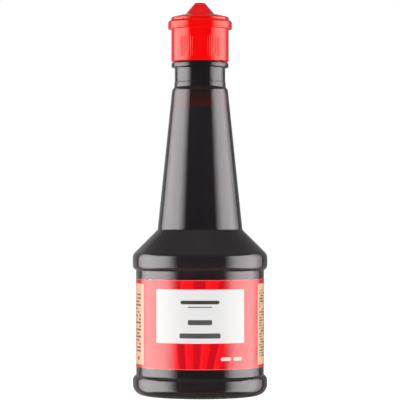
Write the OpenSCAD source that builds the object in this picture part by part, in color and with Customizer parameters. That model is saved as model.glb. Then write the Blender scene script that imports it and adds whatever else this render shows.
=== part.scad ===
// Table soy sauce bottle: a round clear glass bottle with a banded body, a 45 degree
// shoulder and a long tapered neck, full of dark sauce to the upper neck, with a
// wrap-around label and a red moulded pourer cap whose lid rises to a blunt cone.
// Origin: the middle of the ring it stands on. +Z is up, -Y is the front.

/* [Glass body] */
// Largest diameter, at the foot band and at the shoulder band
body_d = 60; // [50:0.5:75]
// How far the panel that the label lies on is set in from the bands
panel_in = 1.5; // [0.5:0.1:3]
// Height of the label panel between the two bands
panel_h = 46.4; // [30:0.2:90]
// Height of the straight part of the foot band
foot_band_h = 1.8; // [1:0.1:6]
// Height of the straight part of the shoulder band
shoulder_band_h = 2.9; // [1:0.1:6]
// Rounding of each band into the panel
band_round = 3; // [3:0.1:5]
// Rounding of the upper band into the shoulder
shoulder_round = 3.5; // [3:0.1:5]
// Rounding from the lower band down to the foot
foot_round = 4.8; // [3:0.1:6]
// Width of the flat ring that the bottle stands on
foot_w = 1.6; // [1:0.1:4]
// Height of the hollow under the base
push_up = 2.4; // [1:0.1:4]

/* [Glass neck] */
// Diameter at the root of the long neck, where the shoulder ends
neck_root_d = 37.8; // [30:0.2:44]
// How far the top of the long neck stands out from the collar, over its rounded step
step_out = 1.1; // [0.4:0.1:2]
// Height of the long tapered neck
neck_h = 61.6; // [40:0.2:90]
// Blend between the shoulder and the neck
root_fillet = 1; // [0.4:0.1:3]
// Radius of the rounded step at the top of the neck
step_round = 2.4; // [2:0.1:4]
// Height of the plain collar above the step
collar_h = 2.4; // [1:0.1:5]
// How far the collar stands proud of the bare neck
collar_proud = 0.15; // [0.1:0.05:0.4]
// Diameter of the bare neck, which runs on up inside the cap
throat_d = 22.5; // [18:0.1:28]
// Height of the bare neck between the collar and the ring
throat_h = 6.3; // [3:0.1:12]
// How far the ring below the cap stands out from the bare neck
ring_out = 1.45; // [0.6:0.05:3]
// Height of the ring below the cap
ring_h = 2.2; // [1:0.1:4]
// Rounding of the ring's edges
ring_round = 0.5; // [0.2:0.1:0.9]

/* [Glass thickness] */
// Thickness of the glass wall
wall = 2.4; // [1.6:0.1:3.2]
// Thickness of the glass in the middle of the base
base_t = 3.6; // [2:0.1:8]
// Rounding inside, between the base and the wall
heel_round = 5; // [3:0.5:8]
// How far the glass inside rises from the heel to the middle of the base
floor_rise = 2.6; // [1:0.1:3.5]

/* [Contents] */
// Height from the level of the sauce up to the rounded step
ullage = 7.6; // [1:0.2:35]

/* [Label] */
// Bare glass above and below the label, on its panel
label_margin = 3.7; // [1:0.1:8]
// Thickness of the label
label_t = 0.12; // [0.05:0.01:0.3]

/* [Cap] */
// Thickness of the cap's skirt
cap_wall = 1.4; // [0.8:0.1:3]
// Height of the cap's skirt, below its flange
skirt_h = 14.6; // [9:0.1:25]
// Rounding of the skirt's lower edge
skirt_round = 0.7; // [0.2:0.1:1]
// Gap between the glass ring and the skirt
cap_gap = 0.4; // [0.3:0.1:2]
// Clearance between the neck and the skirt, on the radius
cap_clear = 0.15; // [0.05:0.05:0.4]
// Thickness of the cap's closed top, flange included
deck_t = 1.6; // [1:0.1:3]
// How far the flange that the lid sits on stands out from the skirt
flange_out = 1.45; // [0.8:0.05:3]
// Thickness of the flange
flange_t = 0.6; // [0.4:0.1:1.2]
// Break on the edges where flange and lid meet, which shows as a fine line
parting = 0.12; // [0.05:0.01:0.2]

/* [Grip] */
// Number of fine grooves in each of the two grip fields
grooves = 21; // [7:2:25]
// Angle between neighbouring grooves
groove_pitch = 4; // [3.4:0.1:6]
// Diameter of the round bottom of a groove
groove_d = 0.56; // [0.3:0.02:0.7]
// Height of the grip field
grip_h = 9.7; // [5:0.1:20]
// Height of the plain edge below the grip field
grip_edge = 1.5; // [0.8:0.1:3]

/* [Lid] */
// How far the lid's side is set in from its lip
lid_in = 1.35; // [0.6:0.05:3]
// Height of the lip's upright edge
lip_h = 1.9; // [1:0.1:4]
// Height from the flange to the rounded shoulder of the lid
lid_side_h = 4.9; // [4:0.1:9]
// Rounding of the lid's shoulder
lid_round = 0.9; // [0.4:0.1:1.5]
// Height of the shallow dome above the lid's side
dome_h = 1.3; // [0.5:0.1:3]
// Diameter of the cone's foot
cone_d = 12.8; // [8:0.1:16]
// Height of the cone above the dome
cone_h = 4.9; // [2:0.1:10]
// Diameter of the cone's flat tip
tip_d = 4.4; // [2:0.1:6]
// Rounding of the tip's edge
tip_round = 0.5; // [0.2:0.1:0.9]

/* [Hidden] */
$fn = 96;
arc_steps = 8;
over = 1;

body_r = body_d / 2;
panel_r = body_r - panel_in;
throat_r = throat_d / 2;
ring_r = throat_r + ring_out;
socket_r = throat_r + cap_clear;
cap_r = socket_r + cap_wall;
flange_r = cap_r + flange_out;
lid_r = flange_r - lid_in;

// A band's arc runs this far along the bottle, and turns this far, before it meets the panel
band_turn = acos(1 - panel_in / band_round);
band_run = band_round * sin(band_turn);

// Heights, from the foot up
low_band_z = foot_round;
panel_z = low_band_z + foot_band_h + band_run;
high_band_z = panel_z + panel_h + band_run;
shoulder_z = high_band_z + shoulder_band_h;
neck_root_r = neck_root_d / 2;
// The 45 degree shoulder leaves its arc at half a right angle
shoulder_sum = body_r - shoulder_round + shoulder_z + shoulder_round * sqrt(2);
neck_z = shoulder_sum - neck_root_r;
collar_r = throat_r + collar_proud;
neck_top_r = collar_r + step_out;
neck_top_z = neck_z + neck_h;
neck_lean = atan((neck_root_r - neck_top_r) / neck_h);

// The step's arc leaves the neck in line with it and ends on the collar
step_centre_r = neck_top_r - step_round * cos(neck_lean);
step_centre_z = neck_top_z - step_round * sin(neck_lean);
step_turn = acos((collar_r - step_centre_r) / step_round);
collar_z = step_centre_z + step_round * sin(step_turn);
throat_z = collar_z + collar_h;
ring_z = throat_z + throat_h;
ring_top_z = ring_z + ring_h;

skirt_z = ring_top_z + cap_gap;
flange_z = skirt_z + skirt_h;
lid_z = flange_z + flange_t;
mouth_z = lid_z - deck_t;

// The root fillet touches the shoulder and the neck, on the line that halves their corner
root_half = (45 + neck_lean) / 2;
root_reach = root_fillet / cos((45 - neck_lean) / 2);
root_centre = [neck_root_r, neck_z] + root_reach * [cos(root_half), sin(root_half)];

// Inside of the glass
bore_r = throat_r - wall;
inner_r = panel_r - wall;
floor_z = push_up + base_t;
heel_z = floor_z - floor_rise;
// The heel's arc and the domed floor touch, so their centres are both radii apart
heel_centre_r = inner_r - heel_round;
dome_r = (pow(heel_centre_r, 2) + pow(heel_round - floor_rise, 2) - pow(heel_round, 2)) / (2 * floor_rise);
dome_turn = asin(heel_centre_r / (dome_r + heel_round));
inner_sum = shoulder_sum - wall * sqrt(2);
inner_root_r = neck_root_r - wall;
inner_root_z = inner_sum - inner_root_r;
bore_z = collar_z;

sauce_z = neck_top_z - ullage;
label_z = panel_z + label_margin;
label_h = panel_h - 2 * label_margin;

// Points along a round corner: centre, radius, first and last angle, and the first step kept
function arc(centre, radius, from, to, first = 0) = [
    for (i = [first:arc_steps])
        centre + radius * [cos(from + (to - from) * i / arc_steps), sin(from + (to - from) * i / arc_steps)]
];

// Radius of the glass bore at a height in the neck
function inner_neck_r(z) =
    inner_root_r + (bore_r - inner_root_r) * (z - inner_root_z) / (bore_z - inner_root_z);

// Outside of the glass from the middle of the base to the mouth
foot_in_r = body_r - foot_round - foot_w;
push_up_sphere_r = (foot_in_r * foot_in_r + push_up * push_up) / (2 * push_up);
push_up_turn = asin(foot_in_r / push_up_sphere_r);
glass_outside = concat(
    arc([0, push_up - push_up_sphere_r], push_up_sphere_r, 90, 90 - push_up_turn),
    arc([body_r - foot_round, foot_round], foot_round, -90, 0),
    arc([body_r - band_round, low_band_z + foot_band_h], band_round, 0, band_turn),
    arc([body_r - band_round, high_band_z], band_round, -band_turn, 0),
    arc([body_r - shoulder_round, shoulder_z], shoulder_round, 0, 45),
    arc(root_centre, root_fillet, 225, 180 + neck_lean),
    arc([step_centre_r, step_centre_z], step_round, neck_lean, step_turn),
    [[collar_r, throat_z], [throat_r, throat_z], [throat_r, ring_z]],
    arc([ring_r - ring_round, ring_z + ring_round], ring_round, -90, 0),
    arc([ring_r - ring_round, ring_top_z - ring_round], ring_round, 0, 90),
    [[throat_r, ring_top_z], [throat_r, mouth_z], [0, mouth_z]]
);

// Hollow of the glass, closed at a given height
function glass_inside(top_z, top_r) = concat(
    arc([0, floor_z - dome_r], dome_r, 90, 90 - dome_turn),
    arc([heel_centre_r, heel_z + heel_round], heel_round, -90 - dome_turn, 0, 1),
    [[inner_r, inner_sum - inner_r], [inner_root_r, inner_root_z]],
    top_z > bore_z ? [[bore_r, bore_z]] : [],
    [[top_r, top_z], [0, top_z]]
);

module bottle() {
    color("#DCE6E2", 0.35)
        difference() {
            rotate_extrude() polygon(glass_outside);
            rotate_extrude() polygon(glass_inside(mouth_z + over, bore_r));
        }
}

// The sauce fills the glass up to its level in the neck
module sauce() {
    color("#140A08")
        rotate_extrude() polygon(glass_inside(sauce_z, inner_neck_r(sauce_z)));
}

module label() {
    color("#D8121C")
        translate([0, 0, label_z])
            difference() {
                cylinder(r = panel_r + label_t, h = label_h);
                translate([0, 0, -over]) cylinder(r = panel_r, h = label_h + 2 * over);
            }
}

// One field of grip grooves, centred on +X
module grip_field() {
    for (i = [0:grooves - 1])
        rotate([0, 0, (i - (grooves - 1) / 2) * groove_pitch])
            translate([cap_r, 0, skirt_z + grip_edge])
                cylinder(d = groove_d, h = grip_h, $fn = 24);
}

// Skirt, flange and closed top in one moulding, fitted over the neck and resting on the mouth
module cap() {
    color("#D40A0A")
        difference() {
            rotate_extrude()
                polygon(concat(
                    [[socket_r, skirt_z]],
                    arc([cap_r - skirt_round, skirt_z + skirt_round], skirt_round, -90, 0),
                    [[cap_r, flange_z], [flange_r, flange_z], [flange_r, lid_z - parting]],
                    [[flange_r - parting, lid_z], [0, lid_z], [0, mouth_z], [socket_r, mouth_z]]
                ));
            for (side = [-90, 90]) rotate([0, 0, side]) grip_field();
        }
}

// Lid with a rounded lip at its foot, a shallow dome and a blunt cone
module lid() {
    dome_z = lid_z + lid_side_h;
    cone_z = dome_z + dome_h;
    tip_z = cone_z + cone_h;
    // Angle that the cone's side makes with level, and the length that its tip's rounding takes
    cone_lean = atan(cone_h / ((cone_d - tip_d) / 2));
    tip_cut = tip_round * tan(cone_lean / 2);
    color("#D40A0A")
        rotate_extrude()
            polygon(concat(
                [[0, lid_z], [flange_r - parting, lid_z], [flange_r, lid_z + parting]],
                arc([lid_r, lid_z + lip_h], lid_in, 0, 90),
                arc([lid_r - lid_round, dome_z - lid_round], lid_round, 0, 75),
                [[cone_d / 2, cone_z]],
                arc([tip_d / 2 - tip_cut, tip_z - tip_round], tip_round, 90 - cone_lean, 90),
                [[0, tip_z]]
            ));
}

bottle();
sauce();
label();
cap();
lid();
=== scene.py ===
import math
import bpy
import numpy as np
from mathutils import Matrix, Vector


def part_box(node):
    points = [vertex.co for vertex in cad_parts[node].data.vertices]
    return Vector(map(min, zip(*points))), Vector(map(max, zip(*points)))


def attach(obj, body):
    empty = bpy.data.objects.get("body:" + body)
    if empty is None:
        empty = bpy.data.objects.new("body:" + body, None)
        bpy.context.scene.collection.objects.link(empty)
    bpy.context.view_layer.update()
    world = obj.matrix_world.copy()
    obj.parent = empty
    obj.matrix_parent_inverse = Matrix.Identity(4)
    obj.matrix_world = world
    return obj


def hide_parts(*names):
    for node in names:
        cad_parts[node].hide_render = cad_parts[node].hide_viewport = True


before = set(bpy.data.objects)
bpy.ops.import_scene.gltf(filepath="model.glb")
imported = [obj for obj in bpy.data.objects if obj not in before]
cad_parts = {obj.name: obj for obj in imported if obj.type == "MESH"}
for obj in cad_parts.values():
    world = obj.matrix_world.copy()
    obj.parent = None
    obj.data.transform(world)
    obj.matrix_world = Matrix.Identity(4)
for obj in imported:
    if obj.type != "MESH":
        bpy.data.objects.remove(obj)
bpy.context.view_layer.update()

# A soy sauce bottle: flint glass, a dark filling, a wrap-round paper label, a moulded cap and its lid.
# Lengths below are in millimetres until build() turns them into metres. Angles round the bottle are
# in degrees from the front (-Y), growing towards +X.

MM = 0.001


def extent(node):
    """Greatest radius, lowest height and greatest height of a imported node, in millimetres."""
    low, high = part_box(node)
    return max(high[0], high[1]) / MM, low[2] / MM, high[2] / MM


BODY_R, _, MOUTH_Z = extent("bottle")
LABEL_R, LABEL_LOW, LABEL_TOP = extent("label")
SAUCE_R, FLOOR_Z, LEVEL_Z = extent("sauce")
FLANGE_R, SKIRT_Z, DECK_Z = extent("cap")
LIP_R, LIP_Z, TIP_Z = extent("lid")
PAPER = 0.12
WALL_R = LABEL_R - PAPER


# ---------------------------------------------------------------- shapes

def rounded(corners, step=5.0, guard=0.05):
    """A line through corners given as (radius, height, rounding). Each corner becomes an arc that
    touches both sides: it starts rounding * tan(half the turn) before the corner and is swept about
    the point that lies one rounding away, square to the side it leaves. A rounding under 0.02 counts
    as 0.02. A guard point follows each straight side up to the arc, so that the shading of the flat
    stays flat. Points that fall together are dropped."""
    rows = [np.array(c[:2], float) for c in corners]
    line = [rows[0]]
    for before, here, after, corner in zip(rows, rows[1:], rows[2:], corners[1:]):
        into, away = here - before, after - here
        room = min(np.hypot(*into), np.hypot(*away))
        into, away = into / np.hypot(*into), away / np.hypot(*away)
        turn = math.atan2(into[0] * away[1] - into[1] * away[0], into @ away)
        radius = max(corner[2], 0.02)
        reach = radius * math.tan(abs(turn) / 2)
        side = np.array((-into[1], into[0])) * math.copysign(radius, turn)
        centre = here - into * reach + side
        t = np.linspace(0, turn, int(abs(math.degrees(turn)) / step) + 2)
        arc = centre - np.outer(np.cos(t), side)
        arc = arc + np.outer(np.sin(t), into) * math.copysign(radius, turn)
        if room > 2 * (reach + guard):
            arc = np.vstack((arc[0] - into * guard, arc, arc[-1] + away * guard))
        line.extend(arc)
    line.append(rows[-1])
    line = np.array(line)
    keep = np.append(True, np.hypot(*np.diff(line, axis=0).T) > 1e-4)
    return line[keep]


def round_angles(count, *fine):
    """Angles from -180 up to 180 in even steps, with each finer set of angles added to them."""
    even = np.arange(count) * 360 / count - 180
    angles = np.unique(np.round(np.concatenate((even, *fine)), 4))
    return angles[np.append(True, np.diff(angles) > 0.02)]


def turned(radius, height, angles):
    """Points at (radius * sin, -radius * cos, height) of each angle, one row of points per height."""
    a = np.radians(angles)
    radius, height, a = np.broadcast_arrays(radius, height, a)
    return np.stack((radius * np.sin(a), -radius * np.cos(a), height), -1)


def quads(index):
    """The faces between neighbouring rows and columns of a grid of vertex numbers."""
    return np.stack((index[:-1, :-1], index[:-1, 1:], index[1:, 1:], index[1:, :-1]), -1).reshape(-1, 4)


def round_faces(points):
    """The faces of a turned grid. The last column joins the first, and a row of radius zero is one
    vertex, so that seam and poles are closed."""
    rows, columns = points.shape[:2]
    index = np.arange(rows * columns).reshape(rows, columns)
    pole = np.abs(points[:, :, :2]).max(axis=(1, 2)) < 1e-6
    index[pole] = index[pole, :1]
    return quads(np.hstack((index, index[:, :1])))


def build(name, points, faces, stands_for, material, uv=None, sharp=40):
    """A mesh object in metres from points in millimetres. Unused points go, and a face with a
    doubled corner becomes a triangle."""
    used, faces = np.unique(faces, return_inverse=True)
    faces = faces.reshape(-1, 4)
    points = points.reshape(-1, 3)[used] * MM
    same = faces == np.roll(faces, -1, axis=1)
    whole = ~same.any(axis=1)
    three = faces[same.sum(axis=1) == 1]
    three = three[~same[same.sum(axis=1) == 1]].reshape(-1, 3)
    mesh = bpy.data.meshes.new(name)
    mesh.from_pydata(points, [], faces[whole].tolist() + three.tolist())
    if uv is not None:
        corner = np.empty(len(mesh.loops), np.int32)
        mesh.loops.foreach_get("vertex_index", corner)
        layer = mesh.uv_layers.new(name="print")
        layer.uv.foreach_set("vector", uv.reshape(-1, 2)[used][corner].astype(np.float32).ravel())
    mesh.set_sharp_from_angle(angle=math.radians(sharp))
    mesh.materials.append(material)
    piece = bpy.data.objects.new(name, mesh)
    bpy.context.scene.collection.objects.link(piece)
    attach(piece, "root")
    if stands_for:
        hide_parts(stands_for)
    return piece


# ---------------------------------------------------------------- materials

def linear(code):
    """An sRGB hex colour as linear red, green, blue and alpha."""
    c = np.array([int(code[i:i + 2], 16) for i in (1, 3, 5)]) / 255
    c = np.where(c > 0.04045, ((c + 0.055) / 1.055) ** 2.4, c / 12.92)
    return (*c.tolist(), 1.0)


def node(tree, kind, links=None, stops=(), **settings):
    """Adds a node, sets its properties, links or sets its inputs by name or number, and sets the
    stops of its colour ramp, which are given as (position, colour) from first to last."""
    made = tree.nodes.new(kind)
    for key, value in settings.items():
        setattr(made, key, value)
    for key, value in (links or {}).items():
        socket = made.inputs[key]
        if isinstance(value, bpy.types.NodeSocket):
            tree.links.new(value, socket)
        else:
            socket.default_value = value
    for number, (position, colour) in enumerate(stops):
        elements = made.color_ramp.elements
        stop = elements[number] if number < 2 else elements.new(position)
        stop.position = position
        stop.color = colour
    return made


def finish(name, **sockets):
    """A material with one Principled shader whose sockets are set by name."""
    material = bpy.data.materials.new(name)
    material.use_nodes = True
    shader = material.node_tree.nodes["Principled BSDF"]
    for key, value in sockets.items():
        shader.inputs[key.replace("_", " ")].default_value = value
    return material, material.node_tree, shader


# Flint container glass, blown in a polished iron mould: clear and fire-bright, with waves 30 mm long
# and a hundredth of a millimetre high, and fine radial knurling on the ring that it stands on.
WAVE_LONG, WAVE_HIGH = 30, 0.012
KNURLS, KNURL_HIGH, KNURL_FROM, KNURL_TO = 130.0, 0.096, 0.05, 0.3
glass, tree, shader = finish(
    "flint_glass_blown", Base_Color=(1, 1, 1, 1), Roughness=0.0, IOR=1.52, Transmission_Weight=1.0)
place = node(tree, "ShaderNodeTexCoord").outputs["Object"]
wave = node(tree, "ShaderNodeTexNoise", {0: place, "Scale": 1 / (WAVE_LONG * MM), "Detail": 0.0})
axis = node(tree, "ShaderNodeSeparateXYZ", {0: place})
angle = node(tree, "ShaderNodeMath", {0: axis.outputs[0], 1: axis.outputs[1]}, operation="ARCTAN2")
notch = node(tree, "ShaderNodeMath", {0: angle.outputs[0], 1: KNURLS}, operation="MULTIPLY")
notch = node(tree, "ShaderNodeMath", {0: notch.outputs[0]}, operation="SINE")
ring = node(tree, "ShaderNodeMapRange", {
    0: axis.outputs[2], 1: KNURL_FROM * MM, 2: KNURL_TO * MM, 3: 1.0, 4: 0.0})
notch = node(tree, "ShaderNodeMath", {0: notch.outputs[0], 1: ring.outputs[0]}, operation="MULTIPLY")
relief = node(tree, "ShaderNodeMath", {
    0: notch.outputs[0], 1: KNURL_HIGH / WAVE_HIGH, 2: wave.outputs[0]}, operation="MULTIPLY_ADD")
normal = node(tree, "ShaderNodeBump", {"Height": relief.outputs[0], "Distance": WAVE_HIGH * MM})
tree.links.new(normal.outputs[0], shader.inputs["Normal"])

# Soy sauce: a dense brown-black liquid. It wets the glass, so that its side has no gloss of its own.
# Where the glass curves in, over the heel and at the shoulder band, its colour is painted lighter
# brown, a painted glow of the light that the glass lets through.
sauce, tree, shader = finish("soy_sauce_dense", Roughness=0.6, Specular_IOR_Level=0.0)
place = node(tree, "ShaderNodeTexCoord")
height = node(tree, "ShaderNodeSeparateXYZ", {0: place.outputs["Object"]})
level = node(tree, "ShaderNodeMath", {0: height.outputs[2], 1: LEVEL_Z * MM}, operation="DIVIDE")
# Its tones at heights up the bottle; the lighter stops over the heel and the band are painted glow
tone_and_painted_glow = node(tree, "ShaderNodeValToRGB", {0: level.outputs[0]}, [
    (z / LEVEL_Z, linear(code)) for z, code in (
        (FLOOR_Z, "#2a1f1b"), (FLOOR_Z + 3, "#242023"), (48, "#242023"), (52, "#35292b"),
        (56, "#382b2a"), (60, "#252125"))])
tree.links.new(tone_and_painted_glow.outputs[0], shader.inputs["Base Color"])

# The film of sauce that clings inside an upturned neck: painted red-brown where it is thin near the
# level, a painted glow of light through the thin sauce, almost black from 8 mm above it, run down in
# streaks 2.5 mm wide and eight times as long.
STREAK, DRAWN_OUT, STREAK_SHARE = 2.5, 0.12, 0.5
PAINTED_GLOW_TO, DARK_FROM = 1, 8
film, tree, shader = finish("soy_sauce_film", Roughness=0.5, Specular_IOR_Level=0.0)
place = node(tree, "ShaderNodeTexCoord")
height = node(tree, "ShaderNodeSeparateXYZ", {0: place.outputs["Object"]})
rise = node(tree, "ShaderNodeMapRange", {
    0: height.outputs[2], 1: (LEVEL_Z + PAINTED_GLOW_TO) * MM, 2: (LEVEL_Z + DARK_FROM) * MM, 3: 0.0, 4: 1.0})
drawn = node(tree, "ShaderNodeVectorMath", {
    0: place.outputs["Object"], 1: (1, 1, DRAWN_OUT)}, operation="MULTIPLY")
streak = node(tree, "ShaderNodeTexNoise", {
    0: drawn.outputs[0], "Scale": 1 / (STREAK * MM), "Detail": 2.0})
amount = node(tree, "ShaderNodeMath", {
    0: streak.outputs[0], 1: STREAK_SHARE, 2: rise.outputs[0]}, operation="MULTIPLY_ADD")
amount = node(tree, "ShaderNodeMath", {
    0: amount.outputs[0], 1: STREAK_SHARE / 2}, operation="SUBTRACT", use_clamp=True)
# Mixed from the painted red-brown glow near the level to the near-black tone above
tone_and_painted_glow = node(tree, "ShaderNodeMix", {
    0: amount.outputs[0], 6: linear("#441a17"), 7: linear("#201a1c")}, data_type="RGBA")
tree.links.new(tone_and_painted_glow.outputs[2], shader.inputs["Base Color"])

# Polypropylene, coloured red through and moulded in a steel tool with a fine satin grain: a soft gloss.
# The grain is drawn 0.6 mm wide, coarser than the real one, so that it shows.
GRAIN_WIDE, GRAIN_HIGH = 0.6, 0.004
cap_red, tree, shader = finish(
    "polypropylene_moulded_red", Base_Color=linear("#d80001"), IOR=1.49,
    Specular_IOR_Level=0.42, Specular_Tint=(1.0, 0.84, 0.68, 1.0))
place = node(tree, "ShaderNodeTexCoord").outputs["Object"]
grain = node(tree, "ShaderNodeTexNoise", {0: place, "Scale": 1 / (GRAIN_WIDE * MM), "Detail": 2.0})
gloss = node(tree, "ShaderNodeMapRange", {0: grain.outputs[0], 3: 0.05, 4: 0.10})
tree.links.new(gloss.outputs[0], shader.inputs["Roughness"])
normal = node(tree, "ShaderNodeBump", {"Height": grain.outputs[0], "Distance": GRAIN_HIGH * MM})
tree.links.new(normal.outputs[0], shader.inputs["Normal"])

# Coated paper, offset printed in two reds, cream and black, and varnished over the inks, which gives
# it gloss. The white box is bare and nearly matt. Lengths round the label and up it are in
# millimetres, from the front and from the ground. What is printed on it is a list of layers, each an
# ink and its mask.
FIBRE, FIBRE_HIGH = 0.4, 0.003
BARE_ROUGHER = 0.5
LAP, LAP_SHIFT = 6, 1.5
paper, sheet, shader = finish(
    "coated_paper_printed", IOR=1.5, Specular_Tint=(1.0, 0.98, 0.93, 1.0))
LABEL_SPAN = 2 * math.pi * WALL_R + LAP
LABEL_START = -LABEL_SPAN / 2 - LAP_SHIFT
place = node(sheet, "ShaderNodeUVMap", uv_map="print")
where = node(sheet, "ShaderNodeVectorMath", {
    0: place.outputs[0], 1: (LABEL_SPAN, LABEL_TOP - LABEL_LOW, 0),
    2: (LABEL_START, LABEL_LOW, 0)}, operation="MULTIPLY_ADD").outputs[0]
mm_uv = node(sheet, "ShaderNodeSeparateXYZ", {0: where})
across, up = mm_uv.outputs[0], mm_uv.outputs[1]


def area(u0, u1, v0, v1, corner=0.0, soft=0.07):
    """A mask that is 1 in a rounded rectangle. The distance outside is the length of the part of
    the offset from the centre that lies beyond the half size less the corner."""
    inset = corner + soft
    off = node(sheet, "ShaderNodeVectorMath", {
        0: where, 1: ((u0 + u1) / 2, (v0 + v1) / 2, 0)}, operation="SUBTRACT").outputs[0]
    off = node(sheet, "ShaderNodeVectorMath", {0: off}, operation="ABSOLUTE").outputs[0]
    half = ((u1 - u0) / 2 - inset, (v1 - v0) / 2 - inset, 1)
    off = node(sheet, "ShaderNodeVectorMath", {0: off, 1: half}, operation="SUBTRACT").outputs[0]
    off = node(sheet, "ShaderNodeVectorMath", {0: off, 1: (0, 0, 0)}, operation="MAXIMUM").outputs[0]
    far = node(sheet, "ShaderNodeVectorMath", {0: off}, operation="LENGTH").outputs["Value"]
    return node(sheet, "ShaderNodeMapRange", {
        0: far, 1: corner, 2: corner + 2 * soft, 3: 1.0, 4: 0.0}).outputs[0]


LEFT_OUT, BAR_MIDDLE, BAR_HALF = 0.24, 0.48, 0.24


def rows(u0, u1, v0, v1, pitch, word, seed):
    """A mask of short plain bars in even rows, some left out by a seeded hash of row and place. A
    bar fills the part of its row that lies within BAR_HALF of BAR_MIDDLE."""
    line = node(sheet, "ShaderNodeMath", {0: up, 1: v0}, operation="SUBTRACT").outputs[0]
    line = node(sheet, "ShaderNodeMath", {0: line, 1: pitch}, operation="DIVIDE").outputs[0]
    run = node(sheet, "ShaderNodeMath", {0: across, 1: word}, operation="DIVIDE").outputs[0]
    cell = node(sheet, "ShaderNodeCombineXYZ", {0: run, 1: line, 2: seed}).outputs[0]
    cell = node(sheet, "ShaderNodeVectorMath", {0: cell}, operation="FLOOR").outputs[0]
    luck = node(sheet, "ShaderNodeTexWhiteNoise", {0: cell}).outputs[0]
    kept = node(sheet, "ShaderNodeMath", {0: luck, 1: LEFT_OUT}, operation="GREATER_THAN").outputs[0]
    part = node(sheet, "ShaderNodeMath", {0: line}, operation="FRACT").outputs[0]
    bar = node(sheet, "ShaderNodeMath", {
        0: part, 1: BAR_MIDDLE, 2: BAR_HALF}, operation="COMPARE").outputs[0]
    mask = area(u0, u1, v0, v1)
    for other in (kept, bar):
        mask = node(sheet, "ShaderNodeMath", {0: mask, 1: other}, operation="MULTIPLY").outputs[0]
    return mask


# Rays of two reds that spread from a point below the label, each RAY_TURN radians wide
RAY_U, RAY_V, RAY_TURN = -3.1, -26.0, 0.0737
du = node(sheet, "ShaderNodeMath", {0: across, 1: RAY_U}, operation="SUBTRACT")
dv = node(sheet, "ShaderNodeMath", {0: up, 1: RAY_V}, operation="SUBTRACT")
turn = node(sheet, "ShaderNodeMath", {0: du.outputs[0], 1: dv.outputs[0]}, operation="ARCTAN2")
pair = node(sheet, "ShaderNodeMath", {0: turn.outputs[0], 1: 2 * RAY_TURN}, operation="DIVIDE")
part = node(sheet, "ShaderNodeMath", {0: pair.outputs[0]}, operation="FRACT")
rays = node(sheet, "ShaderNodeValToRGB", {0: part.outputs[0]}, [(at, linear(code)) for at, code in (
    (0.0, "#d80417"), (0.05, "#ba000f"), (0.46, "#b5000d"), (0.54, "#ea1220"), (0.70, "#e10818"),
    (0.97, "#dd0210"))])

layers = []
cream, grey, dark = linear("#eab891"), linear("#6b574a"), linear("#221e1f")
white, trim, rim = linear("#c6c6c6"), linear("#e04a4c"), linear("#b80a16")
HALF_ROUND = math.pi * WALL_R + 4

# A trim along both edges, and a cream panel with a rim on each side
TRIM_W, RIM_W = 0.35, 0.4
PANEL_LOW, PANEL_TOP = LABEL_LOW + 1.3, LABEL_TOP - 2.0
layers.append((trim, area(-HALF_ROUND, HALF_ROUND, LABEL_LOW - 1, LABEL_LOW + TRIM_W)))
layers.append((trim, area(-HALF_ROUND, HALF_ROUND, LABEL_TOP - TRIM_W, LABEL_TOP + 1)))
for low, high in ((-HALF_ROUND, -29.9), (31.2, HALF_ROUND)):
    layers.append((rim, area(low - RIM_W, high + RIM_W, PANEL_LOW - RIM_W, PANEL_TOP + RIM_W)))
    layers.append((cream, area(low, high, PANEL_LOW, PANEL_TOP)))
# Blocks of bars on the panels: left, right, low, top, pitch of the rows, place for a bar, seed
for u0, u1, v0, v1, pitch, word, seed in (
        (-43.5, -32.6, 19.5, 46.0, 1.55, 2.3, 1.5), (32.6, 41.6, 17.5, 47.5, 1.2, 1.7, 2.5),
        (43.4, 56.0, 17.5, 47.5, 1.2, 1.7, 3.5), (-60.0, -46.5, 17.5, 47.5, 1.2, 1.7, 4.5),
        (60.0, 82.0, 33.0, 47.5, 1.35, 2.0, 5.5)):
    layers.append((grey, rows(u0, u1, v0, v1, pitch, word, seed)))

# A plain bar block and a plain table at the back
STRIPE_W = 0.36
layers.append((white, area(61.0, 81.0, 17.0, 30.5, 0.4)))
stripe = node(sheet, "ShaderNodeMath", {0: across, 1: STRIPE_W}, operation="DIVIDE").outputs[0]
stripe = node(sheet, "ShaderNodeMath", {0: stripe}, operation="FLOOR").outputs[0]
luck = node(sheet, "ShaderNodeTexWhiteNoise", {"W": stripe}, noise_dimensions="1D").outputs[0]
black = node(sheet, "ShaderNodeMath", {0: luck, 1: 0.5}, operation="GREATER_THAN").outputs[0]
block = node(sheet, "ShaderNodeMath", {
    0: black, 1: area(62.5, 79.5, 18.5, 29.0)}, operation="MULTIPLY").outputs[0]
layers.append((dark, block))
for line in range(7):
    v = 20.0 + 4.0 * line
    layers.append((grey, area(-81.0, -63.0, v, v + 0.3)))
for line in range(6):
    v = 21.5 + 4.0 * line
    layers.append((grey, area(-80.0, -73.0, v, v + 0.9, 0.2)))
    layers.append((grey, area(-69.0, -64.5, v, v + 0.9, 0.2)))

# The white box on the front, and plain marks: ink, left, right, low, top, corner
box = area(-20.3, 20.6, 24.8, 47.4)
layers.append((linear("#f0c4be"), area(-20.3 - RIM_W, 20.6 + RIM_W, 24.8 - RIM_W, 47.4 + RIM_W)))
layers.append((white, box))
for tint, u0, u1, v0, v1, corner in (
        ("#221e1f", -8.6, 8.6, 41.4, 43.0, 0.8), ("#221e1f", -5.2, 5.2, 39.9, 40.3, 0.1),
        ("#3a3636", -5.3, 5.3, 32.4, 34.6, 0.5), ("#3a3636", -9.0, 9.0, 26.6, 28.8, 0.5),
        ("#f0b9b1", 9.2, 14.0, 16.8, 18.3, 0.6), ("#f0b9b1", 15.2, 19.6, 16.8, 18.3, 0.6),
        ("#5c4a40", -36.6, -34.4, 16.2, 17.8, 0.3)):
    layers.append((linear(tint), area(u0, u1, v0, v1, corner)))

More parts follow.
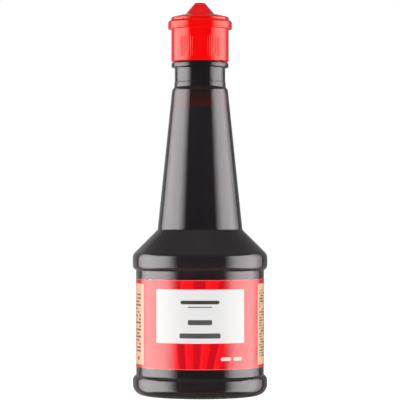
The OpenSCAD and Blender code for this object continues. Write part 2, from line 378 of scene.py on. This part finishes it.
colour = rays.outputs[0]
for tint, mask in layers:
    colour = node(sheet, "ShaderNodeMix", {0: mask, 6: colour, 7: tint}, data_type="RGBA").outputs[2]
sheet.links.new(colour, shader.inputs["Base Color"])
fibre = node(sheet, "ShaderNodeTexNoise", {0: where, "Scale": 1 / FIBRE, "Detail": 3.0}).outputs[0]
gloss = node(sheet, "ShaderNodeMapRange", {0: fibre, 3: 0.09, 4: 0.13}).outputs[0]
gloss = node(sheet, "ShaderNodeMath", {
    0: box, 1: BARE_ROUGHER, 2: gloss}, operation="MULTIPLY_ADD").outputs[0]
sheet.links.new(gloss, shader.inputs["Roughness"])
normal = node(sheet, "ShaderNodeBump", {"Height": fibre, "Distance": FIBRE_HIGH * MM})
sheet.links.new(normal.outputs[0], shader.inputs["Normal"])

# ---------------------------------------------------------------- the glass bottle

# Outside, upwards: the foot, the band below the flat that carries the label, the band above it, the
# shoulder, the leaning neck, its collar, the throat and the ring
FOOT_IN, PUSH_UP, HEEL = 23.6, 2.4, 4.8
FLAT_LOW, FLAT_TOP, BEVEL, BAND_ROUND = 9.198, 55.598, 0.866, 2.7
BAND_TOP, SHOULDER_ROUND = 62.546, 3.5
NECK_LOW_R, NECK_LOW_Z, NECK_TOP_R, NECK_TOP_Z = 18.9, 73.646, 12.5, 135.246
COLLAR_R, COLLAR_Z, THROAT_R = 11.4, 139.2, 11.25
RING_R, RING_LOW, RING_TOP = 12.7, 145.724, 147.924
# Inside: the mouth's bore down to the leaning neck, its root, the shoulder and the floor
BORE_R, BORE_Z, ROOT_R, ROOT_Z, SHOULDER_Z, CORNER = 8.85, 137.024, 16.5, 72.652, 63.052, 5.0
FLOOR_RISE = 2.6

# The inner floor rises to its middle as a parabola
floor_r = np.linspace(0, SAUCE_R - CORNER - 0.6, 12)
inner_floor = [
    (r, FLOOR_Z + FLOOR_RISE * (1 - (r / (SAUCE_R - CORNER)) ** 2), 0) for r in floor_r]
# The base is a cap of the sphere that is PUSH_UP high over the inner edge of the foot ring
SPHERE_R = (FOOT_IN ** 2 + PUSH_UP ** 2) / (2 * PUSH_UP)
dome_r = np.linspace(0, FOOT_IN - 0.4, 14)
dome = np.stack((dome_r, PUSH_UP - SPHERE_R + np.sqrt(SPHERE_R ** 2 - dome_r ** 2)), 1)
# The rounded step at the top of the neck is an arc that leaves the neck in line with it and ends at
# the collar's radius
STEP_R, LEAN = 2.4, math.atan2(NECK_LOW_R - NECK_TOP_R, NECK_TOP_Z - NECK_LOW_Z)
drop = NECK_TOP_R - COLLAR_R + STEP_R * (math.cos(LEAN) - 1)
t = np.linspace(LEAN, math.acos(1 - drop / STEP_R), 12)
step = np.stack((
    NECK_TOP_R + STEP_R * (np.cos(t) - math.cos(LEAN)),
    NECK_TOP_Z + STEP_R * (np.sin(t) - math.sin(LEAN))), 1)
below = rounded([
    (FOOT_IN - 0.4, dome[-1, 1], 0), (FOOT_IN, 0, 0.3), (BODY_R, 0, HEEL),
    (BODY_R, FLAT_LOW - BEVEL, BAND_ROUND), (WALL_R, FLAT_LOW, 0.3), (WALL_R, FLAT_TOP, 0.3),
    (BODY_R, FLAT_TOP + BEVEL, BAND_ROUND), (BODY_R, BAND_TOP, SHOULDER_ROUND),
    (NECK_LOW_R, NECK_LOW_Z, 1.0), (NECK_TOP_R, NECK_TOP_Z, 0)])
# A fine groove, where two parts of the mould meet, ends the collar
above_step = rounded([
    step[-5], (*step[-1], 0.9), (COLLAR_R, COLLAR_Z, 0.0), (THROAT_R - 0.05, COLLAR_Z + 0.3, 0.0),
    (THROAT_R, COLLAR_Z + 0.6, 0.0), (THROAT_R, RING_LOW, 0.3), (RING_R, RING_LOW, 0.5),
    (RING_R, RING_TOP, 0.5), (THROAT_R, RING_TOP, 0.3), (THROAT_R, MOUTH_Z, 0.8),
    (BORE_R, MOUTH_Z, 0.6), (BORE_R, BORE_Z, 3.0), (ROOT_R, ROOT_Z, 1.5),
    (SAUCE_R, SHOULDER_Z, CORNER), (SAUCE_R, FLOOR_Z, CORNER), *inner_floor[::-1]])
profile = np.vstack((dome[:-1], below, step[1:-5], above_step))

# The two halves of the mould leave a fine ridge up the outside, at the front and at the back. Its
# height falls off as a bell curve. It runs from a few rows past the dome, on the foot ring, to a few
# rows past the neck, on the step, and it is lower behind the label and on the neck.
RIDGE_HIGH, RIDGE_DEGREES, SEAM_DEGREES = 0.04, 0.22, 0.6
FULL_BELOW, BEHIND_LABEL, ON_NECK = 60, 0.3, 0.25
RING_ROWS, STEP_ROWS = 6, 12
seam = np.linspace(-SEAM_DEGREES, SEAM_DEGREES, 9)
angles = round_angles(200, seam, seam + 180, seam - 180)
angles = angles[(angles >= -180) & (angles < 180)]
from_seam = np.minimum(np.abs(angles), 180 - np.abs(angles))
ridge = RIDGE_HIGH * np.exp(-(from_seam / RIDGE_DEGREES) ** 2)
r, z = profile[:, :1], profile[:, 1:]
number = np.arange(len(profile))[:, None]
outer = (number > len(dome) + RING_ROWS) & (number < len(dome) + len(below) + STEP_ROWS) & (z > 0.5)
behind_label = (z > LABEL_LOW - 0.5) & (z < LABEL_TOP + 0.5)
worn = np.where(behind_label, BEHIND_LABEL, np.where(z < FULL_BELOW, 1.0, ON_NECK))
points = turned(r + ridge * outer * worn, z, angles)
build("glass_bottle", points, round_faces(points), "bottle", glass)

# ---------------------------------------------------------------- what fills it

# The sauce and its film reach a little into the glass, so that no air shows between them. The level
# climbs the wall a little.
INTO, CLIMB, CLIMB_WIDE = 0.08, 0.5, 1.6
LEVEL_R = ROOT_R + (BORE_R - ROOT_R) * (LEVEL_Z - ROOT_Z) / (BORE_Z - ROOT_Z)
fill = rounded([
    *[(r, h - INTO, 0) for r, h, _ in inner_floor], (SAUCE_R + INTO, FLOOR_Z - INTO, CORNER),
    (SAUCE_R + INTO, SHOULDER_Z + 0.03, CORNER), (ROOT_R + INTO, ROOT_Z + 0.03, 1.5),
    (LEVEL_R + INTO, LEVEL_Z + CLIMB, 0), (LEVEL_R - 0.1, LEVEL_Z + CLIMB, 0),
    (LEVEL_R - CLIMB_WIDE, LEVEL_Z, 1.2), (0, LEVEL_Z, 0)])
plain = round_angles(180)
points = turned(fill[:, :1], fill[:, 1:], plain)
build("sauce_fill", points, round_faces(points), "sauce", sauce)

FILM_TOP = MOUTH_Z - 2
film_line = rounded([
    (LEVEL_R + INTO, LEVEL_Z, 0), (BORE_R + INTO, BORE_Z, 3.0), (BORE_R + INTO, FILM_TOP, 0),
    (BORE_R - INTO, FILM_TOP, 0), (BORE_R - INTO, BORE_Z, 3.0), (LEVEL_R - INTO, LEVEL_Z, 0)])
points = turned(film_line[:, :1], film_line[:, 1:], plain)
# The film is a closed band, so its last row joins its first
faces = round_faces(np.concatenate((points, points[:1])))
faces = faces % (len(film_line) * len(plain))
build("sauce_film", points, faces, None, film)

# ---------------------------------------------------------------- the label

# A strip with a front and a back that meet at its edges. Its first end is lifted over its last one
# by a smooth step, a cubic that starts and ends level.
LAP_LIFT, LAP_RUN = 0.13, 8
ABOVE_WALL, TO_FRONT, TO_BACK = 0.02, 0.10, 0.06
arc = np.concatenate(([0], np.linspace(0, 1, 481), [1])) * LABEL_SPAN + LABEL_START
rise_v = np.concatenate(([0], np.linspace(0, 1, 21), [1])) * (LABEL_TOP - LABEL_LOW) + LABEL_LOW
turn_at = np.degrees(arc / WALL_R)
lift = np.clip((arc - LABEL_START) / LAP_RUN, 0, 1)
lift = LAP_LIFT * (1 - lift ** 2 * (3 - 2 * lift))
edge = np.ones((len(rise_v), len(arc)))
edge[[0, -1]] = 0
edge[:, [0, -1]] = 0
middle = WALL_R + ABOVE_WALL + lift
front = turned(middle + TO_FRONT * edge, rise_v[:, None], turn_at)
back = turned(middle - TO_BACK * edge, rise_v[:, None], turn_at)
count = edge.size
index = np.arange(count).reshape(edge.shape)
# At each corner of the strip three points fall together, and they are one vertex
for row, inner_row in ((0, 1), (-1, -2)):
    for column, inner_column in ((0, 1), (-1, -2)):
        index[row, inner_column] = index[inner_row, column] = index[row, column]
under = index + count
under[[0, -1]] = index[[0, -1]]
under[:, [0, -1]] = index[:, [0, -1]]
uv = np.stack(np.broadcast_arrays(
    (arc - LABEL_START) / LABEL_SPAN, (rise_v[:, None] - LABEL_LOW) / (LABEL_TOP - LABEL_LOW)), -1)
build("paper_label", np.concatenate((front.reshape(-1, 3), back.reshape(-1, 3))),
      np.concatenate((quads(index), quads(under)[:, ::-1])), "label", paper,
      uv=np.concatenate((uv.reshape(-1, 2), uv.reshape(-1, 2))))

# ---------------------------------------------------------------- the cap

SKIRT_IN, SKIRT_R, FLANGE_Z = 11.4, 12.8, 162.924
GROOVE_LOW, GROOVE_TOP, RUN_OUT = 149.8, 159.5, 0.6
cap_line = rounded([
    (0, MOUTH_Z, 0), (SKIRT_IN, MOUTH_Z, 0.3), (SKIRT_IN, SKIRT_Z, 0.3), (SKIRT_R, SKIRT_Z, 0.7),
    (SKIRT_R, GROOVE_LOW, 0), (SKIRT_R, GROOVE_LOW + RUN_OUT, 0), (SKIRT_R, 152.0, 0),
    (SKIRT_R, 157.0, 0), (SKIRT_R, GROOVE_TOP - RUN_OUT, 0), (SKIRT_R, GROOVE_TOP, 0),
    (SKIRT_R, FLANGE_Z, 0.35), (FLANGE_R, FLANGE_Z, 0.12), (FLANGE_R, DECK_Z, 0.12), (0, DECK_Z, 0)])

# Grip grooves in two fields, at the front and at the back, PITCH degrees apart. Across a groove the
# cut is a squared cosine, and it is shallow in the middle of a field and deeper at its ends.
GROOVE_W, PITCH, GROOVES = 0.66, 4.0, 21
SHALLOW, DEEPER = 0.03, 0.10
FIELD = (GROOVES - 1) / 2 * PITCH
grooves = (np.arange(GROOVES) - (GROOVES - 1) / 2) * PITCH
width = math.degrees(GROOVE_W / SKIRT_R)
fine = (grooves[:, None] + np.linspace(-0.5, 0.5, 9) * width).ravel()
angles = round_angles(144, fine, fine + 180, fine - 180)
angles = angles[(angles >= -180) & (angles < 180)]
from_front = np.minimum(np.abs(angles), 180 - np.abs(angles)) * np.sign(angles)
nearest = np.clip(np.round(from_front / PITCH), -(GROOVES - 1) / 2, (GROOVES - 1) / 2) * PITCH
off = np.radians(from_front - nearest) * SKIRT_R
deep = SHALLOW + DEEPER * (from_front / FIELD) ** 2
cut = deep * np.cos(np.clip(np.abs(off) / GROOVE_W, 0, 0.5) * math.pi) ** 2
r, z = cap_line[:, :1], cap_line[:, 1:]
window = np.clip((z - GROOVE_LOW) / RUN_OUT, 0, 1) * np.clip((GROOVE_TOP - z) / RUN_OUT, 0, 1)
window = window * (r > SKIRT_R - 0.01)
points = turned(r - cut * window, z, angles)
build("cap_skirt", points, round_faces(points), "cap", cap_red)

# The lid: its lip, its side, a shallow dome, a blunt cone and the sunk mark of the gate in its tip
LIP_TOP, SIDE_R, SIDE_TOP, CONE_R, CONE_Z, TIP_R = 166.774, 12.9, 168.2, 6.4, 169.724, 2.2
GATE_R, GATE_DEEP, PARTING = 0.9, 0.15, 0.02
lid_line = rounded([
    (0, LIP_Z + PARTING, 0), (LIP_R, LIP_Z + PARTING, 0.12), (LIP_R, LIP_TOP, 1.3),
    (SIDE_R, LIP_TOP, 0.1), (SIDE_R, SIDE_TOP, 0.9), (CONE_R, CONE_Z, 0.2), (TIP_R, TIP_Z, 0.5),
    (GATE_R, TIP_Z, 0.1), (GATE_R - GATE_DEEP, TIP_Z - GATE_DEEP, 0.05), (0, TIP_Z - GATE_DEEP, 0)])
points = turned(lid_line[:, :1], lid_line[:, 1:], plain)
build("cap_lid", points, round_faces(points), "lid", cap_red)

# ---------------------------------------------------------------- floor, light and camera

# A matt white board, lit up so that it is as pale as the ground behind. The glass doesn't mirror it,
# because the world's pattern has its own ground.
FLOOR_HALF = 2
backing, tree, shader = finish(
    "floor_white_matt", Base_Color=linear("#fafafa"), Roughness=0.9, Emission_Color=(1, 1, 1, 1),
    Emission_Strength=0.9)
mesh = bpy.data.meshes.new("floor")
corners = [(x * FLOOR_HALF, y * FLOOR_HALF, 0) for x, y in ((-1, -1), (1, -1), (1, 1), (-1, 1))]
mesh.from_pydata(corners, [], [(0, 1, 2, 3)])
mesh.materials.append(backing)
floor = bpy.data.objects.new("floor", mesh)
bpy.context.scene.collection.objects.link(floor)
for ray in ("visible_glossy", "visible_transmission", "visible_shadow"):
    setattr(floor, ray, False)


MIDDLE = 0.09


def softbox(name, azimuth, elevation, distance, size, power):
    """A square soft light that faces the bottle's middle, MIDDLE metres up. It lights matt surfaces;
    what a glossy surface mirrors is the world's pattern of the same boxes."""
    lamp = bpy.data.lights.new(name, "AREA")
    lamp.size = size
    lamp.energy = power
    box = bpy.data.objects.new(name, lamp)
    a, e = math.radians(azimuth), math.radians(elevation)
    away = Vector((math.sin(a) * math.cos(e), -math.cos(a) * math.cos(e), math.sin(e)))
    box.location = away * distance + Vector((0, 0, MIDDLE))
    box.rotation_euler = away.to_track_quat("Z", "Y").to_euler()
    box.visible_camera = box.visible_glossy = box.visible_transmission = False
    bpy.context.scene.collection.objects.link(box)


softbox("softbox_left", -65, 12, 1.2, 0.9, 5.4)
softbox("softbox_right", 65, 12, 1.2, 0.9, 5.0)
softbox("softbox_front", 0, 25, 1.6, 1.2, 6.6)
softbox("softbox_top", 0, 75, 1.4, 1.2, 12.0)
softbox("softbox_back", 180, 20, 1.6, 1.2, 7.0)

# The world that glossy surfaces mirror: a broad box on each side with soft edges below and above, a
# pale ceiling and a dim ground. Angles are in degrees. Rays from the camera see plain white.
LOW_FROM, LOW_TO, HIGH_FROM, HIGH_TO, GROUND_TO = -42, -25, 26, 34, -34
SHIFT, LEFT_POWER, RIGHT_POWER, GROUND_POWER = 1.6, 8.4, 7.7, 0.34
FADE_FROM, FADE_TO, FADED = 103, 122, 0.6
TINT = (1.0, 0.95, 0.965)
world = bpy.data.worlds.new("studio")
bpy.context.scene.world = world
world.use_nodes = True
tree = world.node_tree
tree.nodes.clear()
toward = node(tree, "ShaderNodeTexCoord")
axis = node(tree, "ShaderNodeSeparateXYZ", {0: toward.outputs["Generated"]})
front = node(tree, "ShaderNodeMath", {0: axis.outputs[1], 1: -1.0}, operation="MULTIPLY")
around = node(tree, "ShaderNodeMath", {0: axis.outputs[0], 1: front.outputs[0]}, operation="ARCTAN2")
DEG = math.radians(1)
# The right box stands a little further round than the left one
shifted = node(tree, "ShaderNodeMath", {0: around.outputs[0], 1: SHIFT * DEG}, operation="SUBTRACT")
side = node(tree, "ShaderNodeMath", {0: shifted.outputs[0]}, operation="ABSOLUTE")
above = node(tree, "ShaderNodeMath", {0: axis.outputs[2]}, operation="ARCSINE")
turned_away = node(tree, "ShaderNodeMath", {0: side.outputs[0], 1: math.pi}, operation="DIVIDE")
# Brightness at degrees from the front
box = node(tree, "ShaderNodeValToRGB", {0: turned_away.outputs[0]}, [
    (degrees / 180, (value, value, value, 1)) for degrees, value in (
        (0, 0.012), (41, 0.014), (46.6, 0.19), (52, 0.41), (58, 0.65), (64, 0.80), (70.5, 0.875),
        (77, 0.90), (91, 0.865), (100, 0.81), (108, 0.725), (117.5, 0.525), (123.5, 0.39),
        (130.5, 0.24), (132.5, 0.03), (137, 0.03), (140, 0.055), (180, 0.05))]).outputs[0]
lower = node(tree, "ShaderNodeMapRange", {
    0: above.outputs[0], 1: LOW_FROM * DEG, 2: LOW_TO * DEG}, interpolation_type="SMOOTHSTEP")
upper = node(tree, "ShaderNodeMapRange", {
    0: above.outputs[0], 1: HIGH_FROM * DEG, 2: HIGH_TO * DEG, 3: 1.0, 4: 0.0},
    interpolation_type="SMOOTHSTEP")
hand = node(tree, "ShaderNodeMapRange", {
    0: around.outputs[0], 1: -0.5, 2: 0.5, 3: LEFT_POWER, 4: RIGHT_POWER})
# The right box fades towards its back edge
fade = node(tree, "ShaderNodeMapRange", {
    0: around.outputs[0], 1: FADE_FROM * DEG, 2: FADE_TO * DEG, 3: 1.0, 4: FADED})
for other in (hand, fade, lower, upper):
    box = node(tree, "ShaderNodeMath", {0: box, 1: other.outputs[0]}, operation="MULTIPLY").outputs[0]
# Brightness of the ceiling at degrees above the horizon
climb = node(tree, "ShaderNodeMath", {0: above.outputs[0], 1: math.pi / 2}, operation="DIVIDE")
ceiling = node(tree, "ShaderNodeValToRGB", {0: climb.outputs[0]}, [
    (degrees / 90, (value, value, value, 1)) for degrees, value in (
        (0, 0.0), (27, 0.0), (34, 0.26), (57, 0.27), (75, 0.38), (90, 0.45))]).outputs[0]
ground = node(tree, "ShaderNodeMapRange", {
    0: above.outputs[0], 1: LOW_FROM * DEG, 2: GROUND_TO * DEG, 3: GROUND_POWER, 4: 0.0})
seen = box
for other in (ceiling, ground.outputs[0]):
    seen = node(tree, "ShaderNodeMath", {0: seen, 1: other}, operation="ADD").outputs[0]
path = node(tree, "ShaderNodeLightPath")
shade = node(tree, "ShaderNodeVectorMath", {0: TINT}, operation="SCALE")
tree.links.new(seen, shade.inputs["Scale"])
shown = node(tree, "ShaderNodeMix", {
    0: path.outputs["Is Camera Ray"], 6: shade.outputs[0], 7: (1, 1, 1, 1)}, data_type="RGBA")
world.cycles_visibility.diffuse = False
glow = node(tree, "ShaderNodeBackground", {0: shown.outputs[2]})
node(tree, "ShaderNodeOutputWorld", {0: glow.outputs[0]})

# Level with the lower neck, square to the front, through a long lens nearly a metre away
EYE_AWAY, EYE_UP = 0.959, 0.0788
camera = bpy.data.cameras.new("camera")
camera.sensor_width = 36
camera.lens = 193.5
camera.shift_y = 0.045
eye = bpy.data.objects.new("camera", camera)
eye.location = (0, -EYE_AWAY, EYE_UP)
eye.rotation_euler = (math.radians(90), 0, 0)
bpy.context.scene.collection.objects.link(eye)
bpy.context.scene.camera = eye
bpy.context.scene.view_settings.view_transform = "Standard"
